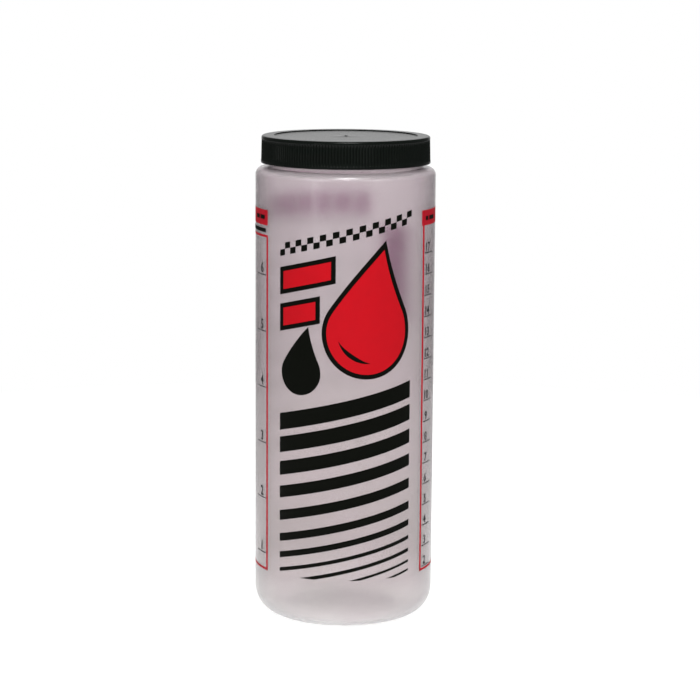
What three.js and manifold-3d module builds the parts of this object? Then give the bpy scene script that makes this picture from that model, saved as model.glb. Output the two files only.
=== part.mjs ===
// A straight-sided measuring and mixing bottle, blow-moulded in natural polyethylene, with a wide
// threaded mouth. Its ribbed screw cap is moulded in black polypropylene and holds a foam liner.
// Millimetres, +Z up. The origin is on the floor, at the centre of the bottle's base, and -Y is the
// printed front. The cap is shown screwed down, with its liner on the rim of the mouth.

import * as THREE from 'three';
import { mergeVertices } from 'three/addons/utils/BufferGeometryUtils.js';
import Module from 'manifold-3d';

const wasm = await Module();
wasm.setup();

// Bottle: outside sizes and the blown wall
const BOTTLE_DIAMETER = 69.85;
const BODY_HEIGHT = 176.4; // floor to the flat top of the shoulder
const WALL = 1.2;
const HEEL_RADIUS = 10.2;
const SHOULDER_RADIUS = 2.8;
const STANDING_RING_WIDTH = 2.5; // the flat ring that touches the floor
const PUSH_UP = 2.5; // height of the middle of the base above the floor
const PINCH_SCAR = { length: 34, width: 1, height: 0.4 }; // ridge left where the mould closed the tube

// Neck: a plain cylinder with a raised thread
const NECK_DIAMETER = 60;
const NECK_HEIGHT = 9.1; // shoulder to the rim that the liner seals on
const NECK_WALL = 2;
const NECK_FILLET = 0.8; // neck to shoulder, outside and inside
const RIM_CHAMFER = 0.25;

// Thread: six turns to the inch, right-handed, a single start
const THREAD_PITCH = 25.4 / 6;
const NECK_RIDGE = { base: 2.3, crest: 0.9, height: 1.1 };
const CAP_RIDGE = { base: 1.5, crest: 0.5 };
const RIDGE_FADE = THREE.MathUtils.degToRad(24); // each end of a ridge dies away over this angle
const RIDGE_SEAT = 0.4; // how far a ridge's foot runs into the wall behind it
const RIDGE_RUNOUT = 0.15; // how far its crest sinks below that wall at both ends
const NECK_THREAD_START = THREE.MathUtils.degToRad(36); // where the neck's ridge begins, at the back
const NECK_THREAD_TO_SHOULDER = 0.4;
const NECK_THREAD_TO_RIM = 0.75;
const CAP_THREAD_TO_LIP = 0.3;
const CAP_THREAD_TO_BEAD = 0.2;
const THREAD_CREST_GAP = 0.35; // each crest to the wall that faces it
const THREAD_FLANK_GAP = 0.3; // between the two flanks that pull the cap down

// Liner: a disc of foam under the panel of the cap
const LINER_THICKNESS = 1;
const LINER_EDGE_GAP = 0.3; // liner to the bore of the cap
const LINER_BEAD = { depth: 0.45, height: 0.6, drop: 0.3 }; // ring in the bore that keeps the liner in

// Cap: skirt, ribs and top
const CAP_WALL = 1; // bore to the foot of the ribs, at the lip
const SKIRT_GAP = 1.67; // lip of the cap to the shoulder
const DRAFT = Math.tan(THREE.MathUtils.degToRad(1.3)); // the outside narrows upwards
const LIP_HEIGHT = 1.1; // plain band below the ribs
const BAND_PROUD = 0.08; // the plain bands stand this far outside the ribs
const LIP_CHAMFER = 0.3;
const RIB_COUNT = 172;
const RIB_DEPTH = 0.35;
const TOP_BAND_HEIGHT = 1.3; // plain band above the ribs
const TOP_ROUND = 1;
const TOP_LAND = 4.1; // width of the flat raised edge
const PANEL_THICKNESS = 1.1;
const PANEL_RECESS = 1; // depth of the panel below the raised edge
const PANEL_FILLET = 0.35;
const GATE_PIP = { diameter: 1.3, height: 0.3 }; // nub where the plastic entered the mould

// Faceting
const FACETS = 56; // round a full turn
const FACET_ANGLE = 2 * Math.PI / FACETS;
const OVERLAP = 0.2; // how far parts of one moulding run into each other before they are joined

// Sizes that follow from those above
const bodyRadius = BOTTLE_DIAMETER / 2;
const neckRadius = NECK_DIAMETER / 2;
const boreRadius = neckRadius - NECK_WALL;
const neckCrestRadius = neckRadius + NECK_RIDGE.height;
const rimZ = BODY_HEIGHT + NECK_HEIGHT;
const linerTopZ = rimZ + LINER_THICKNESS;
const panelTopZ = linerTopZ + PANEL_THICKNESS;
const capTopZ = panelTopZ + PANEL_RECESS;
const lipZ = BODY_HEIGHT + SKIRT_GAP;
const capBoreRadius = neckCrestRadius + THREAD_CREST_GAP;
const capCrestRadius = neckRadius + THREAD_CREST_GAP;
const capRidge = { ...CAP_RIDGE, height: capBoreRadius - capCrestRadius };
const ribFootRadius = capBoreRadius + CAP_WALL;
const ribTipRadius = ribFootRadius + RIB_DEPTH;
const beadTopZ = rimZ - LINER_BEAD.drop;
const beadBottomZ = beadTopZ - LINER_BEAD.height;

// Radius of a drafted surface at height z, from its radius at the lip of the cap
const drafted = (radiusAtLip, z) => radiusAtLip - (z - lipZ) * DRAFT;

// Points of an arc in the plane of a profile, angles in degrees from the outward direction
function arc(centreR, centreZ, radius, fromDeg, toDeg, steps) {
  const points = [];
  for (let i = 0; i <= steps; i++) {
    const angle = THREE.MathUtils.degToRad(fromDeg + (toDeg - fromDeg) * i / steps);
    points.push([centreR + radius * Math.cos(angle), centreZ + radius * Math.sin(angle)]);
  }
  return points;
}

// A solid from a closed geometry: shared points merged, triangles that collapsed on the axis dropped
function solid(geometry) {
  const bare = geometry.clone();
  bare.deleteAttribute('normal');
  bare.deleteAttribute('uv');
  const merged = mergeVertices(bare, 1e-5);
  const index = merged.index.array;
  const triangles = [];
  for (let i = 0; i < index.length; i += 3) {
    const [a, b, c] = index.subarray(i, i + 3);
    if (a !== b && b !== c && c !== a) triangles.push(a, b, c);
  }
  return new wasm.Manifold(new wasm.Mesh({
    numProp: 3,
    vertProperties: merged.attributes.position.array,
    triVerts: new Uint32Array(triangles),
  }));
}

// A profile of [radius, height] points, turned about the Z axis
function turned(profile) {
  const points = profile.map(([r, z]) => new THREE.Vector2(r, z));
  return solid(new THREE.LatheGeometry(points, FACETS).rotateX(Math.PI / 2));
}

// A named part from a solid
function part(name, shape, material) {
  const mesh = shape.getMesh();
  const geometry = new THREE.BufferGeometry();
  geometry.setAttribute('position', new THREE.BufferAttribute(mesh.vertProperties, 3));
  geometry.setIndex(new THREE.BufferAttribute(mesh.triVerts, 1));
  const result = new THREE.Mesh(geometry, material);
  result.name = name;
  return result;
}

// A thread ridge: a trapezoid carried up a helix on a wall of the given radius. It stands outwards on
// the neck (side 1) and inwards in the cap (side -1), and its height dies away at both ends.
function threadRidge(wallRadius, side, ridge, startAngle, startZ, steps) {
  const flankSlope = (ridge.base - ridge.crest) / 2 / ridge.height;
  const footHalf = ridge.base / 2 + RIDGE_SEAT * flankSlope;
  const footRadius = wallRadius - side * RIDGE_SEAT;
  const positions = [];
  for (let i = 0; i <= steps; i++) {
    const angle = startAngle + i * FACET_ANGLE;
    const z = startZ + THREAD_PITCH * i / FACETS;
    const rise = Math.min(1, Math.min(i, steps - i) * FACET_ANGLE / RIDGE_FADE);
    const crestRadius = wallRadius + side * (ridge.height * rise - RIDGE_RUNOUT * (1 - rise));
    const section = [
      [footRadius, z - footHalf],
      [crestRadius, z - ridge.crest / 2],
      [crestRadius, z + ridge.crest / 2],
      [footRadius, z + footHalf],
    ];
    for (const [r, height] of section) {
      positions.push(r * Math.cos(angle), r * Math.sin(angle), height);
    }
  }
  const index = [];
  const quad = (a, b, c, d) => {
    if (side > 0) index.push(a, b, c, a, c, d);
    else index.push(a, c, b, a, d, c);
  };
  for (let i = 0; i < steps; i++) {
    for (let k = 0; k < 4; k++) {
      const next = (k + 1) % 4;
      quad(4 * i + k, 4 * i + 4 + k, 4 * i + 4 + next, 4 * i + next);
    }
  }
  quad(0, 1, 2, 3);
  quad(4 * steps + 3, 4 * steps + 2, 4 * steps + 1, 4 * steps);
  const geometry = new THREE.BufferGeometry();
  geometry.setAttribute('position', new THREE.Float32BufferAttribute(positions, 3));
  geometry.setIndex(index);
  return solid(geometry);
}

// The neck's helix: where the middle of its ridge begins, and how many facets it runs round
const neckThread = (() => {
  const startZ = BODY_HEIGHT + NECK_THREAD_TO_SHOULDER + NECK_RIDGE.base / 2;
  const endZ = rimZ - NECK_THREAD_TO_RIM - NECK_RIDGE.base / 2;
  const startAngle = Math.round(NECK_THREAD_START / FACET_ANGLE) * FACET_ANGLE;
  const steps = Math.floor((endZ - startZ) / THREAD_PITCH * FACETS);
  return { startZ, startAngle, steps };
})();

// How far the middle of the cap's ridge lies below the middle of the neck's ridge with the cap screwed
// down: half of each ridge where they face each other, and the flank gap
function ridgeDrop() {
  const halfWidth = (ridge, heightUp) => {
    return ridge.base / 2 - (ridge.base - ridge.crest) / 2 * heightUp / ridge.height;
  };
  const atNeckCrest = halfWidth(NECK_RIDGE, NECK_RIDGE.height) + halfWidth(capRidge, THREAD_CREST_GAP);
  const atCapCrest = halfWidth(NECK_RIDGE, THREAD_CREST_GAP) + halfWidth(capRidge, capRidge.height);
  return Math.max(atNeckCrest, atCapCrest) + THREAD_FLANK_GAP;
}

// Height of the underside of the base at a radius: a shallow dome inside the standing ring
const ringOuterRadius = bodyRadius - HEEL_RADIUS;
const ringInnerRadius = ringOuterRadius - STANDING_RING_WIDTH;
const domeRadius = (ringInnerRadius ** 2 + PUSH_UP ** 2) / 2 / PUSH_UP;
const domeZ = (r) => PUSH_UP - domeRadius + Math.sqrt(domeRadius ** 2 - r ** 2);

function domePoints(steps, lift) {
  const points = [];
  for (let i = 0; i < steps; i++) {
    const r = ringInnerRadius * i / steps;
    points.push([r, domeZ(r) + lift]);
  }
  return points;
}

// The bottle's wall in section: outside from the middle of the base up to the rim, then back inside
function bottleProfile() {
  const heelCentre = [bodyRadius - HEEL_RADIUS, HEEL_RADIUS];
  const shoulderCentre = [bodyRadius - SHOULDER_RADIUS, BODY_HEIGHT - SHOULDER_RADIUS];
  const outside = [
    ...domePoints(4, 0),
    [ringInnerRadius, 0],
    ...arc(...heelCentre, HEEL_RADIUS, -90, 0, 7),
    ...arc(...shoulderCentre, SHOULDER_RADIUS, 0, 90, 5),
    ...arc(neckRadius + NECK_FILLET, BODY_HEIGHT + NECK_FILLET, NECK_FILLET, -90, -180, 2),
    [neckRadius, rimZ - RIM_CHAMFER],
    [neckRadius - RIM_CHAMFER, rimZ],
  ];
  const inside = [
    [boreRadius + RIM_CHAMFER, rimZ],
    [boreRadius, rimZ - RIM_CHAMFER],
    ...arc(boreRadius + NECK_FILLET, BODY_HEIGHT - WALL + NECK_FILLET, NECK_FILLET, 180, 270, 2),
    ...arc(...shoulderCentre, SHOULDER_RADIUS - WALL, 90, 0, 3),
    ...arc(...heelCentre, HEEL_RADIUS - WALL, 0, -90, 5),
    [ringInnerRadius, WALL],
    ...domePoints(3, WALL).reverse(),
  ];
  return [...outside, ...inside];
}

// The ridge across the base, where the two halves of the blow mould pinched the soft tube shut
function pinchScar() {
  const steps = 8;
  const under = [];
  const above = [];
  for (let i = 0; i <= steps; i++) {
    const x = PINCH_SCAR.length * (i / steps - 0.5);
    const z = domeZ(Math.abs(x));
    under.push(new THREE.Vector2(x, z - PINCH_SCAR.height));
    above.push(new THREE.Vector2(x, z + WALL / 2));
  }
  const outline = new THREE.Shape([...under, ...above.reverse()]);
  const bar = new THREE.ExtrudeGeometry(outline, { depth: PINCH_SCAR.width, bevelEnabled: false });
  bar.rotateX(Math.PI / 2).translate(0, PINCH_SCAR.width / 2, 0);
  return solid(bar);
}

function bottleBody() {
  const { startAngle, startZ, steps } = neckThread;
  return turned(bottleProfile())
    .add(threadRidge(neckRadius, 1, NECK_RIDGE, startAngle, startZ, steps))
    .add(pinchScar());
}

// The cap in section: under the panel, down the bore past the bead, round the lip and up the outside
function capProfile() {
  const ribsFromZ = lipZ + LIP_HEIGHT;
  const ribsToZ = capTopZ - TOP_BAND_HEIGHT;
  const bandRadius = (z) => drafted(ribTipRadius + BAND_PROUD, z);
  const coreRadius = (z) => drafted(ribFootRadius - OVERLAP, z);
  const roundRadius = bandRadius(capTopZ - TOP_ROUND) - TOP_ROUND;
  const panelRadius = roundRadius - TOP_LAND;
  return [
    [0, linerTopZ],
    [capBoreRadius, linerTopZ],
    [capBoreRadius, beadTopZ],
    [capBoreRadius - LINER_BEAD.depth, beadTopZ - LINER_BEAD.height / 2],
    [capBoreRadius, beadBottomZ],
    [capBoreRadius, lipZ + LIP_CHAMFER],
    [capBoreRadius + LIP_CHAMFER, lipZ],
    [bandRadius(lipZ) - LIP_CHAMFER, lipZ],
    [bandRadius(lipZ + LIP_CHAMFER), lipZ + LIP_CHAMFER],
    [bandRadius(ribsFromZ), ribsFromZ],
    [coreRadius(ribsFromZ), ribsFromZ],
    [coreRadius(ribsToZ), ribsToZ],
    [bandRadius(ribsToZ), ribsToZ],
    ...arc(roundRadius, capTopZ - TOP_ROUND, TOP_ROUND, 0, 90, 4),
    [panelRadius + PANEL_FILLET, capTopZ],
    [panelRadius, capTopZ - PANEL_FILLET],
    [panelRadius, panelTopZ + PANEL_FILLET],
    [panelRadius - PANEL_FILLET, panelTopZ],
    [GATE_PIP.diameter / 2, panelTopZ],
    [GATE_PIP.diameter / 4, panelTopZ + GATE_PIP.height],
    [0, panelTopZ + GATE_PIP.height],
  ];
}

// The ribs: a ring with a toothed outline, narrowed upwards with the skirt, its ends inside the bands
function ribRing() {
  const fromZ = lipZ + LIP_HEIGHT - OVERLAP;
  const toZ = capTopZ - TOP_BAND_HEIGHT + OVERLAP;
  const outline = [];
  for (let i = 0; i < 2 * RIB_COUNT; i++) {
    const radius = i % 2 === 0 ? ribTipRadius : ribFootRadius;
    const angle = Math.PI * i / RIB_COUNT;
    outline.push(new THREE.Vector2(radius * Math.cos(angle), radius * Math.sin(angle)));
  }
  const hole = new THREE.Path().absarc(0, 0, ribFootRadius - 2 * OVERLAP, 0, 2 * Math.PI);
  const shape = new THREE.Shape(outline);
  shape.holes.push(new THREE.Path(hole.getPoints(FACETS).slice(1)));
  const ring = new THREE.ExtrudeGeometry(shape, { depth: toZ - fromZ, bevelEnabled: false });
  ring.translate(0, 0, fromZ);
  const position = ring.attributes.position;
  for (let i = 0; i < position.count; i++) {
    const [x, y, z] = [position.getX(i), position.getY(i), position.getZ(i)];
    const radius = Math.hypot(x, y);
    const scale = drafted(radius, z) / radius;
    position.setXY(i, x * scale, y * scale);
  }
  return solid(ring);
}

// The cap's ridge runs on the neck's helix, lowered by the drop, between the lip and the bead
function capRidgeSolid() {
  const lowered = neckThread.startZ - ridgeDrop();
  const lowestZ = lipZ + CAP_THREAD_TO_LIP + capRidge.base / 2;
  const highestZ = beadBottomZ - CAP_THREAD_TO_BEAD - capRidge.base / 2;
  const stepsToZ = (z) => (z - lowered) / THREAD_PITCH * FACETS;
  const first = Math.ceil(stepsToZ(lowestZ));
  const last = Math.floor(stepsToZ(highestZ));
  const startAngle = neckThread.startAngle + first * FACET_ANGLE;
  const startZ = lowered + THREAD_PITCH * first / FACETS;
  return threadRidge(capBoreRadius, -1, capRidge, startAngle, startZ, last - first);
}

function screwCap() {
  return turned(capProfile())
    .add(ribRing())
    .add(capRidgeSolid());
}

function capLiner() {
  const radius = capBoreRadius - LINER_EDGE_GAP;
  return turned([[0, rimZ], [radius, rimZ], [radius, linerTopZ], [0, linerTopZ]]);
}

const naturalPolyethylene = new THREE.MeshStandardMaterial({ color: '#cfc8cc', roughness: 0.45, metalness: 0 });
const blackPolypropylene = new THREE.MeshStandardMaterial({ color: '#171918', roughness: 0.4, metalness: 0 });
const whiteFoam = new THREE.MeshStandardMaterial({ color: '#eceae4', roughness: 0.85, metalness: 0 });

const bottle = new THREE.Group();
bottle.add(part('bottle_body', bottleBody(), naturalPolyethylene));

const closure = new THREE.Group();
closure.add(part('screw_cap', screwCap(), blackPolypropylene));
closure.add(part('cap_liner', capLiner(), whiteFoam));

const mixingBottle = new THREE.Group();
mixingBottle.add(bottle, closure);

export default mixingBottle;
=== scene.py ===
"""The looks of a translucent fuel mixing bottle with a black screw cap, laid out as a Blender add-on.

Lengths in the code are millimetres on the bottle until they reach Blender, which works in metres.
The bottle stands at the origin, +Z up, with its printed front towards -Y.
"""

import math

import bmesh
import bpy
from bpy.props import FloatProperty, FloatVectorProperty, IntProperty, PointerProperty
from mathutils import Matrix, Vector


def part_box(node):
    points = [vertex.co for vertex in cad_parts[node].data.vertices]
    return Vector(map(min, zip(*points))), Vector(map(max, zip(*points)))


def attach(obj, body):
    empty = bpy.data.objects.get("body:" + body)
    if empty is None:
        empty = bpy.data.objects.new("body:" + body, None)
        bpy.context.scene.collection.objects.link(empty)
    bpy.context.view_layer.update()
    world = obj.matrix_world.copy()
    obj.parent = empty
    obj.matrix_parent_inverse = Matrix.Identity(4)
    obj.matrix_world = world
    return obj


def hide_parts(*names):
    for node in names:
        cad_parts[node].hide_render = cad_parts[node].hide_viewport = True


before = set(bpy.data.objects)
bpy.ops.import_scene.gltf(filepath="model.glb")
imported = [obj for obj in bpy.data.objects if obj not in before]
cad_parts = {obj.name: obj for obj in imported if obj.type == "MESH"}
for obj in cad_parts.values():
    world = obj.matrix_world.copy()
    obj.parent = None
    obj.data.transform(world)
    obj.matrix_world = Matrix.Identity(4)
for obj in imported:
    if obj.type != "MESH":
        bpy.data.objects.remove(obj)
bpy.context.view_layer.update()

bl_info = {
    "name": "Fuel Mixing Bottle",
    "version": (1, 0, 0),
    "blender": (4, 5, 0),
    "location": "View3D > Sidebar > Bottle",
    "description": "Builds a milky mixing bottle with printed scales and a ribbed black screw cap",
    "category": "Add Mesh",
}

MM = 0.001
FULL_TURN = 2 * math.pi


def size_of(node):
    """Radius, lowest and highest height of a frame node, in millimetres."""
    low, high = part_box(node)
    return (high.x - low.x) / 2 / MM, low.z / MM, high.z / MM


def ridge_span(ridge, low, high):
    """Lowest and highest place of a ridge's middle that keep it clear of both ends of its wall."""
    return low + ridge["below"] + ridge["base"] / 2, high - ridge["above"] - ridge["base"] / 2


def srgb(code):
    """Linear colour of an sRGB hex code."""
    channels = [int(code[i:i + 2], 16) / 255 for i in (0, 2, 4)]
    return [c / 12.92 if c <= 0.04045 else ((c + 0.055) / 1.055) ** 2.4 for c in channels] + [1]


BODY_RADIUS, _, RIM = size_of("bottle_body")
_, LIP, CAP_TOP = size_of("screw_cap")
LINER_RADIUS, LINER_BOTTOM, LINER_TOP = size_of("cap_liner")

# Meshes: how close two points are to be one, and how close a point is to a wall to be on it
WELD = 0.002
ON_WALL = 0.02

# Bottle
WALL = 1.2
HEEL = 10.2
SHOULDER = 2.8
SHOULDER_TOP = 176.4
RING_WIDTH = 2.5
RING_OUTER = BODY_RADIUS - HEEL
RING_INNER = RING_OUTER - RING_WIDTH
PUSH_UP = 2.5
DOME_RADIUS = (RING_INNER ** 2 + PUSH_UP ** 2) / 2 / PUSH_UP
PINCH_SCAR = {"length": 34.0, "width": 1.0, "height": 0.4, "root": 0.1, "cuts": 11}
NECK_RADIUS = 30.0
NECK_WALL = 2.0
NECK_FILLET = 0.8
RIM_ROUND = 0.3

# Thread, six turns to the inch. A ridge keeps clear of what lies below and above it, and with the cap
# seated its ridge lies a little below the neck's.
PITCH = 25.4 / 6
RIDGE_FADE = 24.0
NECK_RIDGE = {"base": 2.3, "crest": 0.9, "height": 1.1, "below": 0.4, "above": 0.75}
CAP_RIDGE = {"base": 1.5, "crest": 0.5, "height": 1.1, "below": 0.3, "above": 0.2}
NECK_SPAN = ridge_span(NECK_RIDGE, SHOULDER_TOP, RIM)
NECK_START = 38.6
SEATED_DROP = 1.477

# Cap. The gate nub in the middle of its panel is given by the radius and height of its points.
CAP_BORE = 31.45
BORE_CORNER = 0.2
BEAD = {"height": 0.6, "drop": 0.3}
BEAD_TOP = LINER_BOTTOM - BEAD["drop"]
BEAD_BOTTOM = BEAD_TOP - BEAD["height"]
RIB_FOOT = 32.45
RIB_TIP = 32.8
RIB_COUNT = 172
FACES_PER_RIB = 4
BAND_PROUD = 0.08
BAND_EDGE = 0.15
RIBS_FROM = LIP + 1.1
RIBS_TO = CAP_TOP - 1.3
RIB_RUNOUT = {"bottom": 0.12, "top": 0.2}
LIP_ROUND = {"inner": 0.35, "outer": 0.3}
DRAFT = math.tan(math.radians(1.3))
TOP_ROUND = 0.75
TOP_LAND = 4.1
CROWN = 12.0
CROWN_TILT = 5
PANEL_TOP = CAP_TOP - 0.4
PANEL_FILLET = 0.18
GATE_NUB = ((1.1, 0), (0.65, 0.05), (0.5, 0.25), (0.3, 0.3), (0, 0.3))
CAP_SPAN = ridge_span(CAP_RIDGE, LIP, BEAD_BOTTOM)

# Liner
LINER_EDGE = 0.15
LINER_SEGMENTS = 96

# Print, laid out on the unrolled wall: distance round it from the middle of the front, and height.
# A slanting bar's height is the one at which it crosses the middle of the front.
INK_LIFT = 0.02
INK_FILM = 0.03
WRAP_STEP = 1.5
SLANT = 0.2365
ART_LEFT = -27.3
ART_RIGHT = 28.0

# Inks: their colour where the film is thick and where it is thin, and how much light they let through
INKS = {
    "black_ink": {"thick": "070905", "thin": "0B0D08", "clearness": 0.0},
    "red_ink": {"thick": "C8121E", "thin": "BE141F", "clearness": 0.0},
    "scale_red_ink": {"thick": "BE1424", "thin": "B41C2C", "clearness": 0.0},
    "grey_ink": {"thick": "1A191B", "thin": "242225", "clearness": 0.0},
    "berry_ink": {"thick": "C23AA4", "thin": "B43A9A", "clearness": 0.7},
}

# Stripes: height and thickness of each
STRIPES = (
    (87.0, 6.6), (78.0, 6.15), (68.7, 5.45), (59.4, 4.7), (50.15, 3.95), (41.4, 3.15),
    (34.5, 2.4), (28.6, 1.5), (23.6, 1.45), (19.2, 1.0), (15.7, 0.85),
)
STRIPES_BOTTOM = 20.2

# Emblem. A red bar has its right end and its height.
OUTLINE = 1.8
RED_DROP = {"centre": (9.0, 116.5), "radius": 16.0, "tip": 31.5, "lean": 0.2}
BLACK_DROP = {"centre": (-17.8, 100.5), "radius": 8.6, "tip": 18.0, "lean": 0.2}
DROP_POINTS = 96
GLEAM = {"radius": 11.8, "thickness": 1.7, "start": 195, "end": 275}
GLEAM_POINTS = 60
RED_BARS = ((-3.5, 141.5), (-9.5, 127.5))
RED_BAR_THICKNESS = 10.5
CHEQUERS = {"count": 22, "lower": 152.2, "thickness": 2.4}

# Measuring scales, gallons to the left of the front and fluid ounces to the right. A scale's places
# are distances from the middle of the front, whichever its side, and its first mark is the lowest.
SCALE_FAR = 67.0
FRAME_BOTTOM = 20.0
FRAME_FOOT = 20.4
FRAME_LINE = {"foot": 0.9, "near": 1.2, "far": 1.0}
HEADING_THICKNESS = 5.9
WORD = {"middle": 158.4, "thickness": 1.6}
NOTE = {"near": 36.6, "far": 65.0, "middle": 153.4, "thickness": 1.5}
NOTE_LINE = 151.2
TICK = 0.35
GALLONS = {
    "side": -1, "near": 35.0, "top": 151.0, "heading_near": 35.3, "heading": 158.3,
    "words": ((42.6, 46.5), (37.6, 41.6)),
    "numbers": range(1, 7), "first": 29.1, "step": 21.9,
    "tick": (36.6, 45.0), "tick_drop": 2.4, "columns": (40.0, 61.0), "figure": 1.15,
}
OUNCES = {
    "side": 1, "near": 35.4, "top": 156.0, "heading_near": 34.6, "heading": 158.6,
    "words": ((37.4, 39.6), (40.6, 46.0)),
    "numbers": range(2, 18), "first": 23.6, "step": 8.23,
    "tick": (37.2, 45.0), "tick_drop": 2.1, "columns": (39.6, 61.0), "figure": 1.0,
}

# Figures: their height, and what Blender's font takes to stand that high, a little bold
FIGURE_HEIGHT = 3.3
FONT_SIZE = 1.4
FONT_GAIN = 0.035
FONT_STEPS = 4

# Back table
BLOCKS = {"count": 6, "left": 99.6, "pitch": 8.1, "width": 6.0, "middle": 160.0, "thickness": 9.0}
UPRIGHT = {"left": 81.0, "right": 93.5, "middle": 131.0, "thickness": 40.0}
TABLE_LINE = {"left": 99.6, "right": 147.6, "middle": 153.0, "thickness": 0.8}
TABLE = {"rows": 8, "columns": 5, "left": 104.0, "top": 146.0, "across": 9.7, "down": 12.0}

# Plastic wall: its colour at shares of the height to the shoulder, with painted light at the heel and
# painted shade just above it, and how clear it is
WALL_PAINTED_SHADING = ((0, "FCFAFA"), (0.06, "EAE5E5"), (0.11, "D0C9C9"), (0.55, "E1DADB"), (1, "F2EAED"))
PATCH_SHADE = "E2D5DB"
CLEARNESS = {"wall": 0.95, "neck": 0.79}

# Camera, in metres and degrees, fitted to the bottle's outlines in the picture
PICTURE_WIDTH = 700
FOCAL_PIXELS = 2422.1
SENSOR_WIDTH = 36
CAMERA_PLACE = (0, -0.93746, 0.2625)
CAMERA_TURN = {"yaw": -0.131, "pitch": -9.5778, "roll": 0.3884}

# Room: its light on matt surfaces, through the wall by how far sideways a ray goes, and mirrored by
# how far backwards it goes
ROOM_LIGHT = 0.35
ROOM_THROUGH = {"From Min": 0.25, "From Max": 0.85, "To Min": 0.88, "To Max": 0.4}
ROOM_MIRRORED = {"From Min": 0.9, "From Max": 1.0, "To Min": 0.12, "To Max": 1.0}

# Floor, in metres: it is seen mirrored only near the bottle, and glows a little more through the wall
FLOOR = {"radius": 0.5, "segments": 96}
FLOOR_MIRRORED = {"From Min": 0.1, "From Max": 0.3, "To Min": 1.0, "To Max": 0.1}
FLOOR_GLOW = {"seen": 0.92, "through": 0.08}
FLOOR_MATT = (0.7, 0.7, 0.7, 1)
FLOOR_DULL = (0.3, 0.3, 0.3, 1)

# Lamps: name, place and size in metres, power in watts, and whether gloss shows it
LAMPS = (
    ("softbox", (0.03, -0.6, 1.0), 0.36, 7.5, True),
    ("left_fill", (-0.8, -0.9, 0.7), 0.5, 3.2, False),
    ("right_fill", (0.8, -0.9, 0.7), 0.5, 3.2, False),
    ("left_strip", (-0.75, -0.95, 0.15), 0.2, 0.25, True),
    ("top", (0.0, 0.4, 1.1), 0.6, 2.5, False),
)
LAMP_AIM = Vector((0, 0, 0.1))


class BottleSettings(bpy.types.PropertyGroup):
    """Sizes of the bottle that a user would change"""

    wall: FloatProperty(
        name="Wall", description="Thickness of the blown wall", default=WALL * MM, unit="LENGTH",
    )
    segments: IntProperty(
        name="Segments", description="Faces round the bottle", default=192, min=64, max=256,
    )


class CapSettings(bpy.types.PropertyGroup):
    """Sizes of the screw cap that a user would change"""

    ribs: IntProperty(
        name="Ribs", description="Ribs round the skirt", default=RIB_COUNT, min=40, max=200,
    )
    rib_depth: FloatProperty(
        name="Rib Depth", description="Height of a rib above its foot",
        default=(RIB_TIP - RIB_FOOT) * MM, unit="LENGTH",
    )


class PrintSettings(bpy.types.PropertyGroup):
    """Sizes and colours of the screen print that a user would change"""

    slant: FloatProperty(
        name="Slant", description="Rise of the stripes along the wall", default=SLANT, min=0, max=1,
    )
    figure_height: FloatProperty(
        name="Figure Height", description="Height of the numbers on the scales",
        default=FIGURE_HEIGHT * MM, unit="LENGTH",
    )
    red: FloatVectorProperty(
        name="Red", description="Colour of the drop and the bars", subtype="COLOR", size=4,
        default=srgb(INKS["red_ink"]["thick"]), min=0, max=1,
    )


def arc(centre, radius, start, end, steps):
    """Points of an arc in a section, angles in degrees from the outward direction."""
    points = []
    for i in range(steps + 1):
        angle = math.radians(start + (end - start) * i / steps)
        points.append((centre[0] + radius * math.cos(angle), centre[1] + radius * math.sin(angle)))
    return points


def line(start, end, steps):
    """Points between two ends of a straight stretch, without the first."""
    return [
        tuple(start[k] + (end[k] - start[k]) * i / steps for k in (0, 1))
        for i in range(1, steps + 1)
    ]


def deselect():
    """Leave nothing selected."""
    bpy.ops.object.select_all(action="DESELECT")


def activate(piece):
    """Select one piece alone and make it the active one."""
    deselect()
    piece.select_set(True)
    bpy.context.view_layer.objects.active = piece


def start_from(name):
    """Name the object that was just added, and open it in edit mode with everything selected."""
    piece = bpy.context.object
    piece.name = name
    piece.data.name = name
    bpy.ops.object.mode_set(mode="EDIT")
    bpy.ops.mesh.select_all(action="SELECT")
    return piece


def edit_vertices(piece, change):
    """Run a function on every vertex of a piece, in object mode."""
    mesh = bmesh.new()
    mesh.from_mesh(piece.data)
    for vertex in mesh.verts:
        change(vertex)
    mesh.to_mesh(piece.data)
    mesh.free()


def join_into(piece, others):
    """Join other meshes into a piece."""
    activate(piece)
    for other in others:
        other.select_set(True)
    bpy.ops.object.join()


def spun(name, outline, segments):
    """A turned piece: a point extruded along an outline of radii and heights, then spun about Z."""
    deselect()
    bpy.ops.mesh.primitive_plane_add(size=MM)
    piece = start_from(name)
    bpy.ops.mesh.merge(type="CENTER")
    radius, height = outline[0]
    bpy.ops.transform.translate(value=(radius * MM, 0, height * MM))
    for next_radius, next_height in outline[1:]:
        step = ((next_radius - radius) * MM, 0, (next_height - height) * MM)
        bpy.ops.mesh.extrude_region_move(TRANSFORM_OT_translate={"value": step})
        radius, height = next_radius, next_height
    bpy.ops.mesh.select_all(action="SELECT")
    bpy.ops.mesh.spin(steps=segments, angle=FULL_TURN, center=(0, 0, 0), axis=(0, 0, 1))
    bpy.ops.mesh.select_all(action="SELECT")
    bpy.ops.mesh.remove_doubles(threshold=WELD * MM)
    bpy.ops.mesh.normals_make_consistent(inside=False)
    bpy.ops.object.mode_set(mode="OBJECT")
    return piece


def smooth(piece, angle):
    """Shade a piece smooth, with edges sharper than an angle in degrees kept crisp."""
    activate(piece)
    bpy.ops.object.shade_smooth_by_angle(angle=math.radians(angle))


def spread(vertex, rise):
    """Move a vertex away from the axis by a distance in millimetres."""
    radius = math.hypot(vertex.co.x, vertex.co.y) / MM
    scale = (radius + rise) / radius
    vertex.co.x *= scale
    vertex.co.y *= scale


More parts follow.
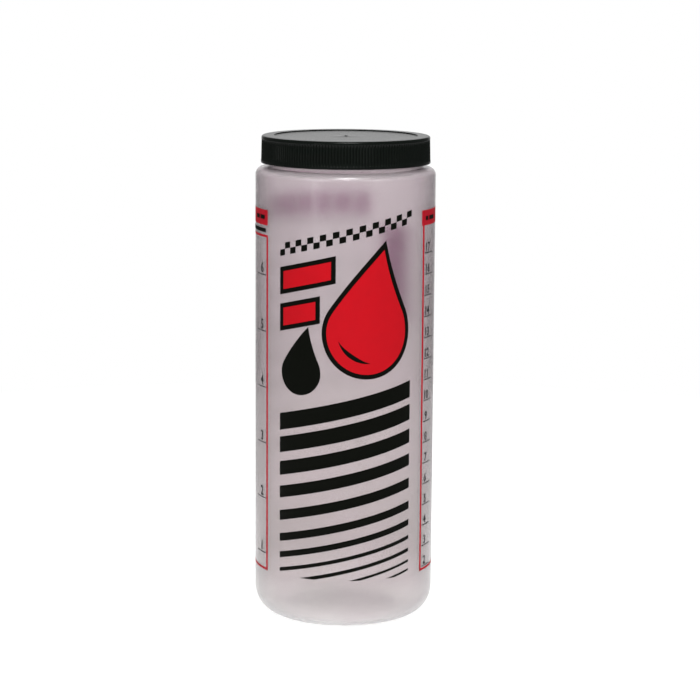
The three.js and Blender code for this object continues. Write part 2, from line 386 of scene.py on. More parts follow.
def ridge_height(ridge, off_centre, turned, length):
    """How far a thread ridge stands out at a height off its middle, part of the way along it."""
    half_base = ridge["base"] / 2
    half_crest = ridge["crest"] / 2
    flank = min(1, max(0, (half_base - abs(off_centre)) / (half_base - half_crest)))
    fade = min(1, max(0, min(turned, length - turned) / RIDGE_FADE))
    return ridge["height"] * flank * fade * fade * (3 - 2 * fade)


def raise_thread(piece, wall_radius, side, ridge, span, start):
    """Raise a helical ridge on a cylindrical wall, outwards (side 1) or inwards (side -1).

    The ridge grows out of the wall and dies away in it, as a moulded one does, so the wall's own
    vertices are moved. It starts at an angle in degrees and climbs through its span of heights.
    """
    low, high = span
    length = (high - low) / PITCH * 360

    def lift(vertex):
        x, y, z = (c / MM for c in vertex.co)
        on_wall = abs(math.hypot(x, y) - wall_radius) <= ON_WALL
        if not on_wall or not low - ridge["base"] < z < high + ridge["base"]:
            return
        turned = (math.degrees(math.atan2(y, x)) - start) % 360
        rise = 0
        while turned < length:
            middle = low + PITCH * turned / 360
            rise = max(rise, ridge_height(ridge, z - middle, turned, length))
            turned += 360
        spread(vertex, side * rise)

    edit_vertices(piece, lift)


def put(tree, kind, inputs=None, **settings):
    """Add a node, with its settings, and its inputs as values or as links from other nodes."""
    node = tree.nodes.new(kind)
    for name, value in settings.items():
        setattr(node, name, value)
    for name, value in (inputs or {}).items():
        if isinstance(value, bpy.types.NodeSocket):
            tree.links.new(value, node.inputs[name])
        else:
            node.inputs[name].default_value = value
    return node


def blend(tree, factor, low, high):
    """The colour between a low and a high one, each a linear colour or a link, at a factor."""
    node = put(tree, "ShaderNodeMix", data_type="RGBA")
    sockets = [
        socket for socket in node.inputs if socket.enabled and socket.name in ("Factor", "A", "B")
    ]
    for value, socket in zip((factor, low, high), sockets):
        if isinstance(value, bpy.types.NodeSocket):
            tree.links.new(value, socket)
        else:
            socket.default_value = value
    return [socket for socket in node.outputs if socket.enabled][0]


def new_material(name):
    """An empty material, its node tree and the coordinates that its patterns read."""
    material = bpy.data.materials.new(name)
    material.use_nodes = True
    tree = material.node_tree
    tree.nodes.clear()
    return material, tree, put(tree, "ShaderNodeTexCoord").outputs["Object"]


def finish_surface(tree, shader):
    """Send a shader to the material's surface."""
    put(tree, "ShaderNodeOutputMaterial", {"Surface": shader.outputs[0]})


def natural_polyethylene():
    """Blow-moulded natural polyethylene: milky, a little see-through, with a soft satin skin.

    The wall scatters light, so what is printed on the far side shows through it only as a blur. Its
    colour carries painted light and shade by height: lighter at the heel, as if lit by the white floor,
    darker just above it, and lighter again towards the shoulder. The milk in it lies in patches about
    30 mm across. The shoulder and the neck were stretched least, so they are milkiest.
    The skin has a faint orange peel, about 1.5 mm across, from the cooled mould.
    """
    material, tree, coords = new_material("natural_polyethylene")
    height = put(tree, "ShaderNodeSeparateXYZ", {0: coords}).outputs["Z"]
    upward = put(tree, "ShaderNodeMapRange", {"Value": height, "From Max": SHOULDER_TOP * MM})
    # Painted light and shade by height: the ramp lightens the heel and darkens the wall just above it.
    wall = put(tree, "ShaderNodeValToRGB", {"Fac": upward.outputs["Result"]})
    stops = wall.color_ramp.elements
    for place, _ in WALL_PAINTED_SHADING[1:-1]:
        stops.new(place)
    for stop, (_, code) in zip(stops, WALL_PAINTED_SHADING):
        stop.color = srgb(code)
    cloud = put(tree, "ShaderNodeTexNoise", {"Vector": coords, "Scale": 1 / (30 * MM), "Detail": 2.0})
    patches = put(tree, "ShaderNodeMapRange", {
        "Value": cloud.outputs["Fac"], "From Min": 0.4, "From Max": 0.8, "To Max": 0.4,
    })
    tint = blend(tree, patches.outputs["Result"], wall.outputs["Color"], srgb(PATCH_SHADE))
    peel = put(tree, "ShaderNodeTexNoise", {"Vector": coords, "Scale": 1 / (1.5 * MM), "Detail": 2.0})
    bump = put(
        tree, "ShaderNodeBump",
        {"Height": peel.outputs["Fac"], "Strength": 0.06, "Distance": 0.1 * MM},
    )
    clearness = put(tree, "ShaderNodeMapRange", {
        "Value": height,
        "From Min": (SHOULDER_TOP - SHOULDER) * MM, "From Max": (SHOULDER_TOP - SHOULDER / 2) * MM,
        "To Min": CLEARNESS["wall"], "To Max": CLEARNESS["neck"],
    })
    shader = put(tree, "ShaderNodeBsdfPrincipled", {
        "Base Color": tint, "Roughness": 0.23, "IOR": 1.54,
        "Transmission Weight": clearness.outputs["Result"], "Normal": bump.outputs["Normal"],
    })
    finish_surface(tree, shader)
    return material


def black_polypropylene():
    """Injection-moulded black polypropylene: satin, with the mould's grain, about 0.35 mm across.

    Its black is a shade lighter in clouds about 15 mm across.
    """
    material, tree, coords = new_material("black_polypropylene")
    grain = put(tree, "ShaderNodeTexNoise", {"Vector": coords, "Scale": 1 / (0.35 * MM), "Detail": 3.0})
    rough = put(tree, "ShaderNodeMapRange", {
        "Value": grain.outputs["Fac"], "To Min": 0.2, "To Max": 0.3,
    })
    bump = put(
        tree, "ShaderNodeBump",
        {"Height": grain.outputs["Fac"], "Strength": 0.15, "Distance": 0.03 * MM},
    )
    cloud = put(tree, "ShaderNodeTexNoise", {"Vector": coords, "Scale": 1 / (15 * MM)})
    tint = blend(tree, cloud.outputs["Fac"], srgb("0C100D"), srgb("101411"))
    shader = put(tree, "ShaderNodeBsdfPrincipled", {
        "Base Color": tint, "Roughness": rough.outputs["Result"],
        "IOR": 1.49, "Specular IOR Level": 0.18, "Normal": bump.outputs["Normal"],
    })
    finish_surface(tree, shader)
    return material


def white_foam():
    """Extruded polyethylene foam with a matt skin, its cells about 0.3 mm across."""
    material, tree, coords = new_material("white_foam")
    cells = put(tree, "ShaderNodeTexVoronoi", {"Vector": coords, "Scale": 1 / (0.3 * MM)})
    tint = blend(tree, cells.outputs["Distance"], srgb("ECEAE4"), srgb("DDDAD2"))
    bump = put(
        tree, "ShaderNodeBump",
        {"Height": cells.outputs["Distance"], "Strength": 0.4, "Distance": 0.1 * MM},
    )
    shader = put(tree, "ShaderNodeBsdfPrincipled", {
        "Base Color": tint, "Roughness": 0.85, "Normal": bump.outputs["Normal"],
    })
    finish_surface(tree, shader)
    return material


def screen_ink(name, thick=None):
    """Screen-printed ink: a smooth satin film, a shade thinner where the mesh let less through.

    The thin places are about 4 mm across. Each ink is mixed once and then used again.
    """
    if name in bpy.data.materials:
        return bpy.data.materials[name]
    ink = INKS[name]
    material, tree, coords = new_material(name)
    cover = put(tree, "ShaderNodeTexNoise", {"Vector": coords, "Scale": 1 / (4 * MM), "Detail": 4.0})
    tint = blend(tree, cover.outputs["Fac"], thick or srgb(ink["thick"]), srgb(ink["thin"]))
    shader = put(tree, "ShaderNodeBsdfPrincipled", {
        "Base Color": tint, "Roughness": 0.5, "IOR": 1.5, "Specular IOR Level": 0.06,
        "Transmission Weight": ink["clearness"],
    })
    finish_surface(tree, shader)
    return material


def dress(piece, material, body, slot, *nodes):
    """Give a piece its material and say what it rides on and stands for."""
    piece.data.materials.clear()
    piece.data.materials.append(material)
    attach(piece, body)
    if nodes:
        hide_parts(*nodes)


def dome_height(radius):
    """Height of the pushed-up middle of the base, at a distance from the axis."""
    return PUSH_UP - DOME_RADIUS + math.sqrt(DOME_RADIUS ** 2 - radius ** 2)


def dome(lift, steps):
    """Points along the pushed-up middle of the base, lifted, from the axis almost to the ring."""
    radii = [RING_INNER * i / steps for i in range(steps)]
    return [(radius, lift + dome_height(radius)) for radius in radii]


def bottle_outline(wall):
    """The wall in section: outside from the middle of the base to the rim, then back down inside."""
    heel_centre = (RING_OUTER, HEEL)
    shoulder_centre = (BODY_RADIUS - SHOULDER, SHOULDER_TOP - SHOULDER)
    bore = NECK_RADIUS - NECK_WALL
    fillet_top = SHOULDER_TOP - wall + NECK_FILLET
    outside = dome(0, steps=10) + [(RING_INNER, 0)]
    outside += arc(heel_centre, HEEL, -90, 0, steps=20)
    outside += line(outside[-1], (BODY_RADIUS, SHOULDER_TOP - SHOULDER), steps=12)[:-1]
    outside += arc(shoulder_centre, SHOULDER, 0, 90, steps=10)
    fillet_centre = (NECK_RADIUS + NECK_FILLET, SHOULDER_TOP + NECK_FILLET)
    outside += arc(fillet_centre, NECK_FILLET, 270, 180, steps=6)
    outside += line(outside[-1], (NECK_RADIUS, RIM - RIM_ROUND), steps=36)[:-1]
    outside += arc((NECK_RADIUS - RIM_ROUND, RIM - RIM_ROUND), RIM_ROUND, 0, 90, steps=4)
    inside = arc((bore + RIM_ROUND, RIM - RIM_ROUND), RIM_ROUND, 90, 180, steps=4)
    inside += line(inside[-1], (bore, fillet_top), steps=2)[:-1]
    inside += arc((bore + NECK_FILLET, fillet_top), NECK_FILLET, 180, 270, steps=6)
    inside += arc(shoulder_centre, SHOULDER - wall, 90, 0, steps=6)
    inside += line(inside[-1], (BODY_RADIUS - wall, HEEL), steps=6)[:-1]
    inside += arc(heel_centre, HEEL - wall, 0, -90, steps=14)
    inside += [(RING_INNER, wall)] + dome(wall, steps=6)[::-1]
    return outside + inside


def add_pinch_scar(piece):
    """Join the pinch scar to the base: the low ridge where the mould nipped the soft tube shut."""
    deselect()
    bpy.ops.mesh.primitive_cube_add(size=1)
    scar = start_from("pinch_scar")
    thickness = PINCH_SCAR["height"] + PINCH_SCAR["root"]
    bpy.ops.transform.resize(
        value=(PINCH_SCAR["length"] * MM, PINCH_SCAR["width"] * MM, thickness * MM),
    )
    bpy.ops.mesh.subdivide(number_cuts=PINCH_SCAR["cuts"])
    bpy.ops.object.mode_set(mode="OBJECT")

    def settle(vertex):
        vertex.co.z += (dome_height(vertex.co.x / MM) + PINCH_SCAR["root"] - thickness / 2) * MM

    edit_vertices(scar, settle)
    join_into(piece, [scar])


def drafted(radius, height):
    """A radius of the cap's outside at a height: the skirt narrows upwards, so it leaves its mould."""
    return radius - (height - LIP) * DRAFT


def cap_outline():
    """The cap in section: under the panel, down the bore past the bead, round the lip and back up."""

    def band(height):
        return (drafted(RIB_TIP + BAND_PROUD, height), height)

    def foot(height):
        return (drafted(RIB_FOOT, height), height)

    lean = math.radians(CROWN_TILT)
    round_centre = (
        band(CAP_TOP - TOP_ROUND)[0] - TOP_ROUND,
        CAP_TOP - CROWN + (CROWN - TOP_ROUND) * math.cos(lean),
    )
    crown_centre = (round_centre[0] - (CROWN - TOP_ROUND) * math.sin(lean), CAP_TOP - CROWN)
    panel = round_centre[0] - TOP_LAND
    inner, outer = LIP_ROUND["inner"], LIP_ROUND["outer"]
    outline = [(0, LINER_TOP), (CAP_BORE / 2, LINER_TOP), (CAP_BORE - BORE_CORNER, LINER_TOP)]
    outline += [(CAP_BORE, LINER_TOP - BORE_CORNER), (CAP_BORE, BEAD_TOP)]
    outline += arc((CAP_BORE, (BEAD_TOP + BEAD_BOTTOM) / 2), BEAD["height"] / 2, 90, 270, steps=6)[1:-1]
    outline += [(CAP_BORE, BEAD_BOTTOM)]
    outline += line(outline[-1], (CAP_BORE, LIP + inner), steps=26)
    outline += arc((CAP_BORE + inner, LIP + inner), inner, 180, 270, steps=3)[1:]
    outline += arc((band(LIP + outer)[0] - outer, LIP + outer), outer, 270, 360, steps=3)
    outline += line(outline[-1], band(RIBS_FROM - BAND_EDGE), steps=2)
    outline += [foot(RIBS_FROM + RIB_RUNOUT["bottom"])]
    outline += line(outline[-1], foot(RIBS_TO - RIB_RUNOUT["top"]), steps=6)
    outline += [band(RIBS_TO)]
    outline += arc(round_centre, TOP_ROUND, 0, 90 - CROWN_TILT, steps=8)
    outline += arc(crown_centre, CROWN, 90 - CROWN_TILT, 90, steps=5)[1:]
    outline += [(panel + 2 * PANEL_FILLET, CAP_TOP)]
    outline += arc((panel + PANEL_FILLET, CAP_TOP - PANEL_FILLET), PANEL_FILLET, 90, 180, steps=4)
    outline += arc((panel - PANEL_FILLET, PANEL_TOP + PANEL_FILLET), PANEL_FILLET, 0, -90, steps=4)
    outline += [(panel * share, PANEL_TOP) for share in (0.66, 0.33)]
    outline += [(radius, PANEL_TOP + height) for radius, height in GATE_NUB]
    return outline


def raise_ribs(piece, count, depth):
    """Raise the ribs round the skirt: half-round ridges that meet in sharp valleys."""

    def lift(vertex):
        x, y, z = (c / MM for c in vertex.co)
        on_foot = abs(math.hypot(x, y) - drafted(RIB_FOOT, z)) <= ON_WALL
        if on_foot and RIBS_FROM < z < RIBS_TO:
            spread(vertex, depth * abs(math.cos(math.atan2(y, x) * count / 2)))

    edit_vertices(piece, lift)


class BOTTLE_OT_body(bpy.types.Operator):
    """Add the blown bottle with its neck thread and the pinch scar under its base"""

    bl_idname = "mixing_bottle.body"
    bl_label = "Bottle Body"

    def execute(self, context):
        settings = context.scene.bottle_settings
        piece = spun("bottle_wall", bottle_outline(settings.wall / MM), settings.segments)
        raise_thread(piece, NECK_RADIUS, 1, NECK_RIDGE, NECK_SPAN, NECK_START)
        add_pinch_scar(piece)
        smooth(piece, angle=40)
        dress(piece, natural_polyethylene(), "bottle", "natural_polyethylene", "bottle_body")
        return {"FINISHED"}


class BOTTLE_OT_cap(bpy.types.Operator):
    """Add the ribbed screw cap, with its ridge just below the neck's so that it seats"""

    bl_idname = "mixing_bottle.cap"
    bl_label = "Screw Cap"

    def execute(self, context):
        settings = context.scene.cap_settings
        piece = spun("cap_shell", cap_outline(), FACES_PER_RIB * settings.ribs)
        raise_ribs(piece, settings.ribs, settings.rib_depth / MM)
        climb = CAP_SPAN[0] - (NECK_SPAN[0] - SEATED_DROP)
        raise_thread(piece, CAP_BORE, -1, CAP_RIDGE, CAP_SPAN, NECK_START + climb / PITCH * 360)
        smooth(piece, angle=50)
        dress(piece, black_polypropylene(), "cap", "black_polypropylene", "screw_cap")
        return {"FINISHED"}


class BOTTLE_OT_liner(bpy.types.Operator):
    """Add the foam liner of the cap"""

    bl_idname = "mixing_bottle.liner"
    bl_label = "Cap Liner"

    def execute(self, context):
        edge_radius = LINER_RADIUS - LINER_EDGE
        outline = [(0, LINER_BOTTOM), (LINER_RADIUS / 2, LINER_BOTTOM)]
        outline += arc((edge_radius, LINER_BOTTOM + LINER_EDGE), LINER_EDGE, -90, 0, steps=3)
        outline += arc((edge_radius, LINER_TOP - LINER_EDGE), LINER_EDGE, 0, 90, steps=3)
        outline += [(LINER_RADIUS / 2, LINER_TOP), (0, LINER_TOP)]
        piece = spun("foam_liner", outline, LINER_SEGMENTS)
        smooth(piece, angle=40)
        dress(piece, white_foam(), "liner", "white_foam", "cap_liner")
        return {"FINISHED"}


def flat_bar(left, right, middle, thickness, slant=0.0):
    """Add a bar of print to the flat sheet in edit mode."""
    bpy.ops.mesh.select_all(action="DESELECT")
    bpy.ops.mesh.primitive_plane_add(size=1, rotation=(math.pi / 2, 0, 0))
    width = right - left
    bpy.ops.transform.resize(value=(width * MM, 1, thickness * MM))
    centre = (left + right) / 2
    bpy.ops.transform.translate(value=(centre * MM, 0, (middle + slant * centre) * MM))
    if slant:
        sheet = bmesh.from_edit_mesh(bpy.context.object.data)
        for vertex in sheet.verts:
            if vertex.select:
                vertex.co.z += slant * (vertex.co.x - centre * MM)
        bmesh.update_edit_mesh(bpy.context.object.data)


def flat_drop(centre, radius, tip, lean):
    """Add a drop to the flat sheet in edit mode: a round foot drawn up to a leaning tip.

    The sides are the straight tangents from the tip, bent over by the lean, so a larger drop about
    the same centre, with its tip moved by the same share, stands all round a smaller one.
    """
    bpy.ops.mesh.select_all(action="DESELECT")
    bpy.ops.mesh.primitive_circle_add(
        vertices=DROP_POINTS, radius=radius * MM, fill_type="NGON", rotation=(math.pi / 2, 0, 0),
    )
    sheet = bmesh.from_edit_mesh(bpy.context.object.data)
    half = math.acos(radius / tip)
    for vertex in sheet.verts:
        if not vertex.select:
            continue
        angle = math.atan2(vertex.co.x, vertex.co.z)
        x, z = vertex.co.x / MM, vertex.co.z / MM
        if abs(angle) < half:
            share = abs(angle) / half
            foot = (math.copysign(radius * math.sin(half), angle), radius * math.cos(half))
            x, z = foot[0] * share, tip + (foot[1] - tip) * share
        x += lean * max(0, z) ** 2 / tip
        vertex.co = ((centre[0] + x) * MM, 0, (centre[1] + z) * MM)
    bmesh.update_edit_mesh(bpy.context.object.data)


def flat_crescent(centre, radius, thickness, start, end):
    """Add a crescent to the flat sheet in edit mode, from one angle in degrees to another."""
    bpy.ops.mesh.select_all(action="DESELECT")
    bpy.ops.mesh.primitive_circle_add(
        vertices=GLEAM_POINTS, radius=radius * MM, fill_type="NGON", rotation=(math.pi / 2, 0, 0),
    )
    sheet = bmesh.from_edit_mesh(bpy.context.object.data)
    rim = [vertex for vertex in sheet.verts if vertex.select]
    half = len(rim) / 2
    for i, vertex in enumerate(rim):
        share = i / half if i <= half else 2 - i / half
        reach = radius if i <= half else radius - thickness * math.sin(math.pi * share)
        angle = math.radians(start + (end - start) * share)
        x, z = reach * math.cos(angle), reach * math.sin(angle)
        vertex.co = ((centre[0] + x) * MM, 0, (centre[1] + z) * MM)
    bmesh.update_edit_mesh(bpy.context.object.data)


def flat_figure(text, centre, height):
    """A number on the flat sheet: text made a mesh, standing up in the plane of the sheet."""
    bpy.ops.object.text_add(rotation=(math.pi / 2, 0, 0))
    figure = bpy.context.object
    figure.data.body = text
    figure.data.align_x = "CENTER"
    figure.data.align_y = "CENTER"
    figure.data.size = FONT_SIZE * height
    figure.data.resolution_u = FONT_STEPS
    figure.data.offset = FONT_GAIN * height
    figure.location = (centre[0] * MM, 0, centre[1] * MM)
    bpy.ops.object.convert(target="MESH")
    bpy.ops.object.transform_apply(location=True, rotation=True, scale=True)
    return bpy.context.object


def new_sheet(name):
    """An empty flat sheet of print, open in edit mode."""
    deselect()
    bpy.ops.mesh.primitive_plane_add(size=MM)
    piece = start_from(name)
    bpy.ops.mesh.delete(type="VERT")
    return piece


def close_sheet():
    """Leave edit mode."""
    bpy.ops.object.mode_set(mode="OBJECT")


def cut_sheet(left, right):
    """Cut the sheet in edit mode with upright lines, so that it can follow the round wall."""
    for i in range(math.ceil(left / WRAP_STEP), math.floor(right / WRAP_STEP) + 1):
        bpy.ops.mesh.select_all(action="SELECT")
        bpy.ops.mesh.bisect(plane_co=(i * WRAP_STEP * MM, 0, 0), plane_no=(1, 0, 0))


def wrap(piece, lift):
    """Lay a flat sheet of print round the wall of the bottle as a thin film of ink."""
    xs = [vertex.co.x / MM for vertex in piece.data.vertices]
    activate(piece)
    bpy.ops.object.mode_set(mode="EDIT")
    cut_sheet(min(xs), max(xs))
    bpy.ops.object.mode_set(mode="OBJECT")
    radius = (BODY_RADIUS + lift) * MM

    def roll(vertex):
        angle = vertex.co.x / (BODY_RADIUS * MM)
        vertex.co = (radius * math.sin(angle), -radius * math.cos(angle), vertex.co.z)

    edit_vertices(piece, roll)
    bpy.ops.object.mode_set(mode="EDIT")
    sheet = bmesh.from_edit_mesh(piece.data)
    for face in sheet.faces:
        centre = face.calc_center_median()
        if face.normal.x * centre.x + face.normal.y * centre.y < 0:
            face.normal_flip()
    bmesh.update_edit_mesh(piece.data)
    bpy.ops.object.mode_set(mode="OBJECT")
    solidify = piece.modifiers.new("film", "SOLIDIFY")
    solidify.thickness = INK_FILM * MM
    solidify.offset = 1
    bpy.ops.object.modifier_apply(modifier="film")


def print_sheet(piece, ink, layer=0):
    """Print a closed flat sheet on the bottle in an ink, over the layers of print under it."""
    wrap(piece, INK_LIFT + 2 * INK_FILM * layer)
    dress(piece, ink, "bottle", "natural_polyethylene")


class BOTTLE_OT_stripes(bpy.types.Operator):
    """Print the slanting black stripes that thin towards the base"""

    bl_idname = "mixing_bottle.stripes"
    bl_label = "Stripes"

    def execute(self, context):
        slant = context.scene.print_settings.slant
        stripes = new_sheet("front_stripes")
        for middle, thickness in STRIPES:
            flat_bar(ART_LEFT, ART_RIGHT, middle, thickness, slant)
        bpy.ops.mesh.select_all(action="SELECT")
        bpy.ops.mesh.bisect(
            plane_co=(0, 0, STRIPES_BOTTOM * MM), plane_no=(0, 0, 1), clear_inner=True,
        )
        close_sheet()
        print_sheet(stripes, screen_ink("black_ink"))
        return {"FINISHED"}


class BOTTLE_OT_emblem(bpy.types.Operator):
    """Print the plain emblem: chequers, a red drop and bars outlined in black, and a small black drop"""

    bl_idname = "mixing_bottle.emblem"
    bl_label = "Emblem"

    def execute(self, context):
        settings = context.scene.print_settings
        slant, centre = settings.slant, RED_DROP["centre"]
        outlines = new_sheet("emblem_outline")
        grown = (RED_DROP["radius"] + OUTLINE) / RED_DROP["radius"]
        flat_drop(centre, RED_DROP["radius"] * grown, RED_DROP["tip"] * grown, RED_DROP["lean"])
        for right, middle in RED_BARS:
            flat_bar(ART_LEFT, right, middle, RED_BAR_THICKNESS, slant)
        flat_drop(**BLACK_DROP)
        width = (ART_RIGHT - ART_LEFT) / CHEQUERS["count"]
        for i in range(CHEQUERS["count"]):
            left = ART_LEFT + width * i
            row = CHEQUERS["lower"] + CHEQUERS["thickness"] * (i % 2)
            flat_bar(left, left + width, row, CHEQUERS["thickness"], slant)
        close_sheet()
        print_sheet(outlines, screen_ink("black_ink"))
        fill = new_sheet("emblem_fill")
        flat_drop(**RED_DROP)
        for right, middle in RED_BARS:
            inside = RED_BAR_THICKNESS - 2 * OUTLINE
            flat_bar(ART_LEFT + OUTLINE, right - OUTLINE, middle, inside, slant)
        close_sheet()
        print_sheet(fill, screen_ink("red_ink", settings.red), layer=1)
        gleam = new_sheet("emblem_gleam")
        flat_crescent(centre, **GLEAM)
        close_sheet()
        print_sheet(gleam, screen_ink("black_ink"), layer=2)
        return {"FINISHED"}


def scale_bar(scale, near, far, middle, thickness):
    """Add a bar of print to a scale's flat sheet, between two distances from the front's middle."""
    left, right = sorted((scale["side"] * near, scale["side"] * far))
    flat_bar(left, right, middle, thickness)


def scale_marks(scale):
    """The numbers of a scale, each with its height."""
    return [(number, scale["first"] + scale["step"] * i) for i, number in enumerate(scale["numbers"])]


class BOTTLE_OT_scales(bpy.types.Operator):
    """Print the two measuring scales with their frames, headers, ticks and plain numbers"""

    bl_idname = "mixing_bottle.scales"
    bl_label = "Scales"

    def execute(self, context):
        height = context.scene.print_settings.figure_height
        frames = new_sheet("scale_frames")
        for scale in (GALLONS, OUNCES):
            near, top = scale["near"], scale["top"]
            upright = {"middle": (FRAME_BOTTOM + top) / 2, "thickness": top - FRAME_BOTTOM}
            scale_bar(scale, scale["heading_near"], SCALE_FAR, scale["heading"], HEADING_THICKNESS)
            scale_bar(scale, near, SCALE_FAR, FRAME_FOOT, FRAME_LINE["foot"])
            scale_bar(scale, near, near + FRAME_LINE["near"], **upright)
            scale_bar(scale, SCALE_FAR - FRAME_LINE["far"], SCALE_FAR, **upright)
        scale_bar(GALLONS, GALLONS["heading_near"], SCALE_FAR, NOTE_LINE, FRAME_LINE["foot"])
        close_sheet()
        print_sheet(frames, screen_ink("scale_red_ink"))
        headings = new_sheet("scale_headings")
        scale_bar(GALLONS, **NOTE)
        for scale in (GALLONS, OUNCES):
            for near, far in scale["words"]:
                scale_bar(scale, near, far, **WORD)
        close_sheet()
        print_sheet(headings, screen_ink("black_ink"), layer=1)
        marks = new_sheet("scale_marks")
        for scale in (GALLONS, OUNCES):
            for _, level in scale_marks(scale):
                scale_bar(scale, *scale["tick"], level - scale["tick_drop"], TICK)
        close_sheet()
        figures = []
        for scale in (GALLONS, OUNCES):
            for number, level in scale_marks(scale):
                for column in scale["columns"]:
                    place = (scale["side"] * column, level)
                    figures.append(flat_figure(str(number), place, height * scale["figure"]))
        join_into(marks, figures)
        print_sheet(marks, screen_ink("grey_ink"))
        return {"FINISHED"}


class BOTTLE_OT_back(bpy.types.Operator):
    """Print the plain table on the back, which shows through the wall as a blur"""

    bl_idname = "mixing_bottle.back"
    bl_label = "Back Table"

    def execute(self, context):
        height = context.scene.print_settings.figure_height
        header = new_sheet("back_header")
        for i in range(BLOCKS["count"]):
            left = BLOCKS["left"] + BLOCKS["pitch"] * i
            flat_bar(left, left + BLOCKS["width"], BLOCKS["middle"], BLOCKS["thickness"])
        flat_bar(**UPRIGHT)
        close_sheet()
        print_sheet(header, screen_ink("berry_ink"))
        table = new_sheet("back_table")
        flat_bar(**TABLE_LINE)
        close_sheet()
        figures = []
        for row in range(TABLE["rows"]):
            level = TABLE["top"] - TABLE["down"] * row
            for column in range(TABLE["columns"]):
                number = str((row + 1) * (column + 1))
                place = (TABLE["left"] + TABLE["across"] * column, level)
                figures.append(flat_figure(number, place, height))
        join_into(table, figures)
        print_sheet(table, screen_ink("grey_ink"))
        return {"FINISHED"}


def add_camera(scene):
    """Stand the camera where the photograph was taken from."""
    camera = bpy.data.objects.new("camera", bpy.data.cameras.new("camera"))
    camera.data.sensor_width = SENSOR_WIDTH
    camera.data.lens = SENSOR_WIDTH * FOCAL_PIXELS / PICTURE_WIDTH
    aim = Matrix.Rotation(math.radians(CAMERA_TURN["yaw"]), 4, "Z")
    aim @= Matrix.Rotation(math.radians(90 + CAMERA_TURN["pitch"]), 4, "X")
    aim @= Matrix.Rotation(math.radians(CAMERA_TURN["roll"]), 4, "Z")
    camera.matrix_world = Matrix.Translation(CAMERA_PLACE) @ aim
    scene.collection.objects.link(camera)
    scene.camera = camera


def add_room(scene):
    """Light the world softly: white to the camera, and mostly greyer to the other kinds of ray."""
    world = bpy.data.worlds.new("studio")
    scene.world = world
    world.use_nodes = True
    tree = world.node_tree
    tree.nodes.clear()
    rays = put(tree, "ShaderNodeLightPath").outputs
    towards = put(tree, "ShaderNodeSeparateXYZ", {
        0: put(tree, "ShaderNodeTexCoord").outputs["Generated"],
    }).outputs
    sideways = put(tree, "ShaderNodeMath", {0: towards["X"]}, operation="ABSOLUTE").outputs[0]
    through = put(tree, "ShaderNodeMapRange", {"Value": sideways, **ROOM_THROUGH}).outputs[0]
    mirrored = put(tree, "ShaderNodeMapRange", {"Value": towards["Y"], **ROOM_MIRRORED}).outputs[0]
    strength = ROOM_LIGHT
    for ray, seen in (("Glossy", mirrored), ("Transmission", through), ("Camera", 1.0)):
        strength = put(tree, "ShaderNodeMix", {
            "Factor": rays["Is %s Ray" % ray], "A": strength, "B": seen,
        }).outputs[0]
    room = put(tree, "ShaderNodeBackground", {"Color": (1, 1, 1, 1), "Strength": strength})
    put(tree, "ShaderNodeOutputWorld", {"Surface": room.outputs[0]})


def floor_white():
    """Plain white floor that glows where it is seen straight, through the wall or mirrored close by.

    Light that bounces meets a pale matt floor instead, so the glow doesn't light the bottle.
    """
    material, tree, coords = new_material("floor_white")
    rays = put(tree, "ShaderNodeLightPath").outputs
    reach = put(tree, "ShaderNodeVectorMath", {0: coords}, operation="LENGTH")
    near = put(tree, "ShaderNodeMapRange", {"Value": reach.outputs["Value"], **FLOOR_MIRRORED})
    mirrored = put(
        tree, "ShaderNodeMath", {0: rays["Is Glossy Ray"], 1: near.outputs[0]}, operation="MULTIPLY",
    )
    seen = mirrored
    for ray in ("Transmission", "Camera"):
        seen = put(
            tree, "ShaderNodeMath", {0: rays["Is %s Ray" % ray], 1: seen.outputs[0]},
            operation="MAXIMUM",
        )
    strength = put(tree, "ShaderNodeMath", {
        0: rays["Is Transmission Ray"], 1: FLOOR_GLOW["through"], 2: FLOOR_GLOW["seen"],
    }, operation="MULTIPLY_ADD")
    matt = put(tree, "ShaderNodeBsdfDiffuse", {"Color": FLOOR_MATT})
    dull = put(tree, "ShaderNodeBsdfDiffuse", {"Color": FLOOR_DULL})
    glow = put(tree, "ShaderNodeEmission", {"Color": (1, 1, 1, 1), "Strength": strength.outputs[0]})
    bright = put(tree, "ShaderNodeAddShader", {0: dull.outputs[0], 1: glow.outputs[0]})
    mixed = put(tree, "ShaderNodeMixShader", {
        0: seen.outputs[0], 1: matt.outputs[0], 2: bright.outputs[0],
    })
    finish_surface(tree, mixed)
    return material


def add_floor():
    """Lay the round white floor."""
    deselect()
    bpy.ops.mesh.primitive_circle_add(
        vertices=FLOOR["segments"], radius=FLOOR["radius"], fill_type="NGON",
    )
    floor = bpy.context.object
    floor.name = "floor"
    floor.data.materials.append(floor_white())


def add_lamps(scene):
    """Hang the soft lamps, all aimed at the bottle."""
    for name, place, size, power, mirrored in LAMPS:
        lamp = bpy.data.objects.new(name, bpy.data.lights.new(name, "AREA"))
        lamp.data.size = size
        lamp.data.energy = power
        lamp.location = place
        lamp.rotation_euler = (LAMP_AIM - Vector(place)).to_track_quat("-Z", "Y").to_euler()
        lamp.visible_glossy = mirrored
        scene.collection.objects.link(lamp)


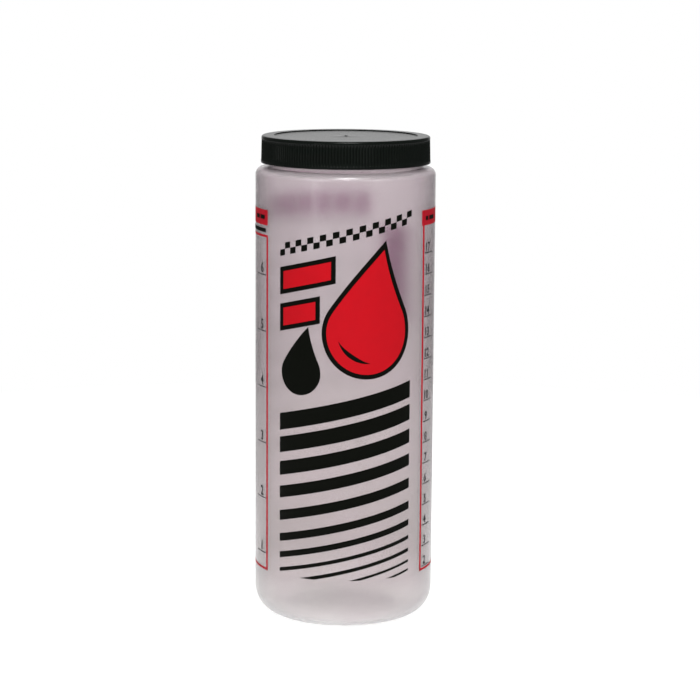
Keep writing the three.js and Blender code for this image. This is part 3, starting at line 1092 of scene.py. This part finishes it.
class BOTTLE_OT_stage(bpy.types.Operator):
    """Add the white floor, the soft studio light and the camera"""

    bl_idname = "mixing_bottle.stage"
    bl_label = "Stage"

    def execute(self, context):
        scene = context.scene
        scene.view_settings.view_transform = "Standard"
        add_camera(scene)
        add_room(scene)
        add_floor()
        add_lamps(scene)
        return {"FINISHED"}


class BOTTLE_PT_panel(bpy.types.Panel):
    """Lists the pieces of the bottle and their settings"""

    bl_label = "Mixing Bottle"
    bl_idname = "BOTTLE_PT_panel"
    bl_space_type = "VIEW_3D"
    bl_region_type = "UI"
    bl_category = "Bottle"

    def draw(self, context):
        for group in SETTINGS:
            settings = getattr(context.scene, group)
            for name in settings.bl_rna.properties.keys():
                if name not in ("name", "rna_type"):
                    self.layout.prop(settings, name)
        for operator in OPERATORS:
            self.layout.operator(operator.bl_idname)


SETTINGS = {
    "bottle_settings": BottleSettings,
    "cap_settings": CapSettings,
    "print_settings": PrintSettings,
}
OPERATORS = (
    BOTTLE_OT_stage, BOTTLE_OT_body, BOTTLE_OT_cap, BOTTLE_OT_liner,
    BOTTLE_OT_stripes, BOTTLE_OT_emblem, BOTTLE_OT_scales, BOTTLE_OT_back,
)


def register():
    """Register the settings, the operators and the panel."""
    for name, group in SETTINGS.items():
        bpy.utils.register_class(group)
        setattr(bpy.types.Scene, name, PointerProperty(type=group))
    for cls in OPERATORS + (BOTTLE_PT_panel,):
        bpy.utils.register_class(cls)


def unregister():
    """Take the panel, the operators and the settings out again."""
    for cls in (BOTTLE_PT_panel,) + OPERATORS[::-1]:
        bpy.utils.unregister_class(cls)
    for name, group in SETTINGS.items():
        delattr(bpy.types.Scene, name)
        bpy.utils.unregister_class(group)


def main():
    """Build the stage and every piece."""
    register()
    bpy.ops.mixing_bottle.stage()
    bpy.ops.mixing_bottle.body()
    bpy.ops.mixing_bottle.cap()
    bpy.ops.mixing_bottle.liner()
    bpy.ops.mixing_bottle.stripes()
    bpy.ops.mixing_bottle.emblem()
    bpy.ops.mixing_bottle.scales()
    bpy.ops.mixing_bottle.back()


if __name__ == "__main__":
    main()
